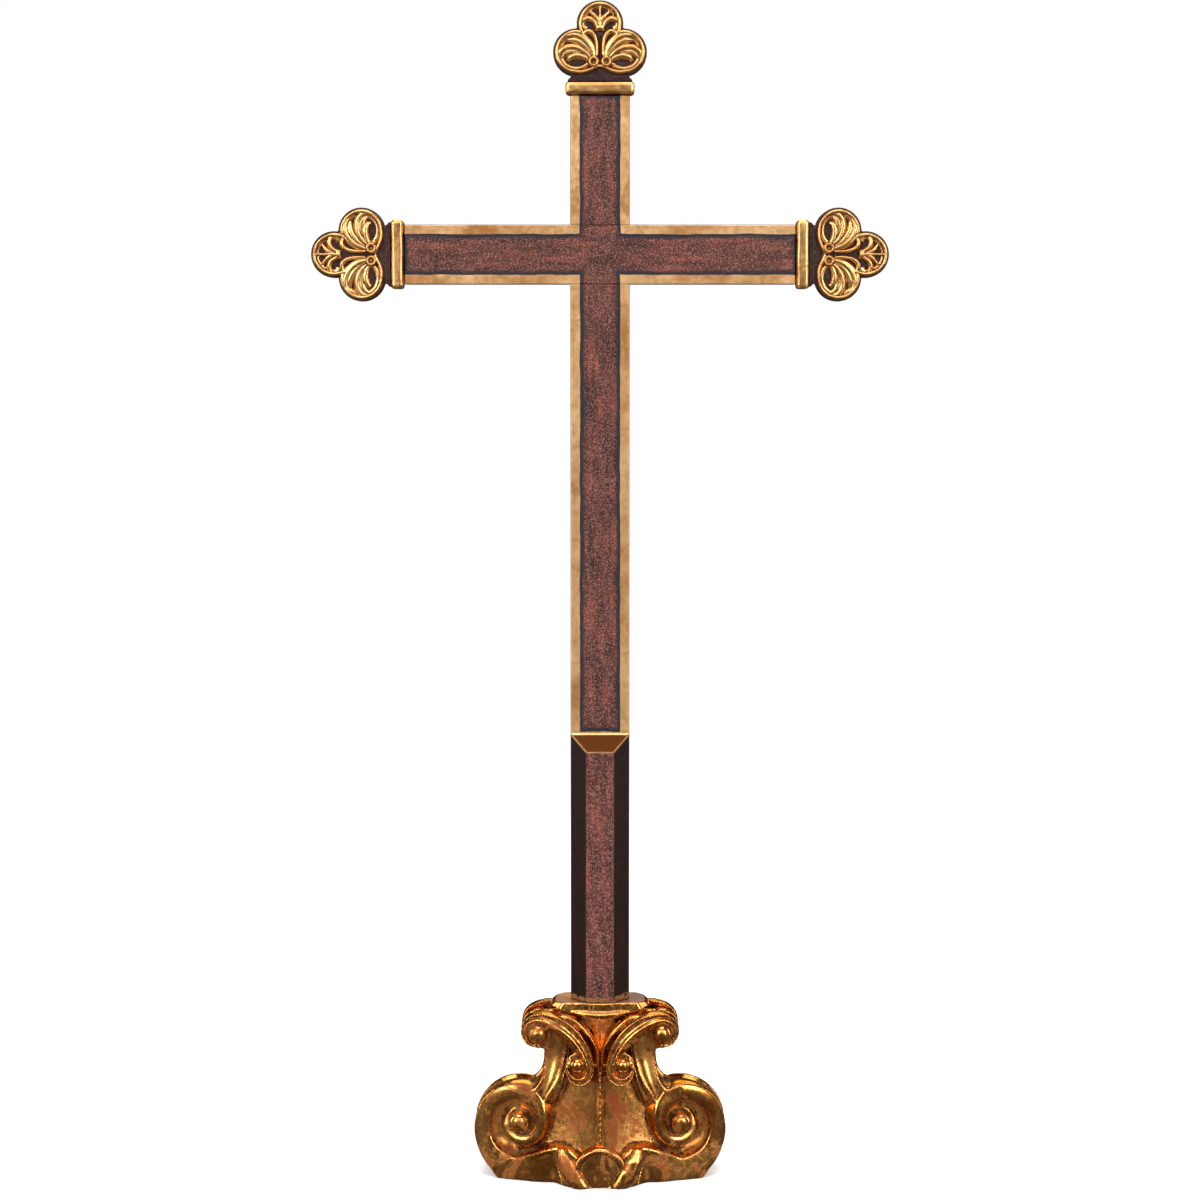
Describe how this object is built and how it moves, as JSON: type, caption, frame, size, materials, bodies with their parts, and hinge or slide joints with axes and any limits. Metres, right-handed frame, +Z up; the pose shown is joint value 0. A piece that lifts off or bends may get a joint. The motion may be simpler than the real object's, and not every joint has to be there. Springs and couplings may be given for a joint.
{
  "type": "altar cross",
  "caption": "Standing altar cross with a flat painted cross, gilded trefoil ends and an eight-sided shaft on a gilded scrolled foot.",
  "frame": {"origin": "on the ground under the shaft's axis, at the middle of the foot", "axes": "+Z up the shaft, -Y out of the front face, +X to the right seen from the front"},
  "size_m": [0.2916, 0.057, 0.6],
  "materials": {
    "painted_wood": "dark red-brown paint with leaf-gilded borders",
    "gilding": "burnished leaf gilding over red bole, with dark patina in the hollows",
    "bare_wood": "bare turned wood",
    "steel": "bright zinc"
  },
  "bodies": {
    "root": {"upright": "painted_wood", "crossbar": "painted_wood", "finial_board_top": "painted_wood", "finial_ornament_top": "gilding", "collar_top": "gilding", "finial_dowel_top": "bare_wood", "finial_board_left": "painted_wood", "finial_ornament_left": "gilding", "collar_left": "gilding", "finial_dowel_left": "bare_wood", "finial_board_right": "painted_wood", "finial_ornament_right": "gilding", "collar_right": "gilding", "finial_dowel_right": "bare_wood", "base_core": "gilding", "scroll_left": "gilding", "scroll_right": "gilding", "strap_front_left": "gilding", "strap_front_right": "gilding", "strap_rear_left": "gilding", "strap_rear_right": "gilding", "cartouche_front": "gilding", "cartouche_rear": "gilding", "cap_plate": "gilding", "tie_rod": "steel", "tie_washer": "steel", "tie_nut": "steel"}
  },
  "joints": []
}
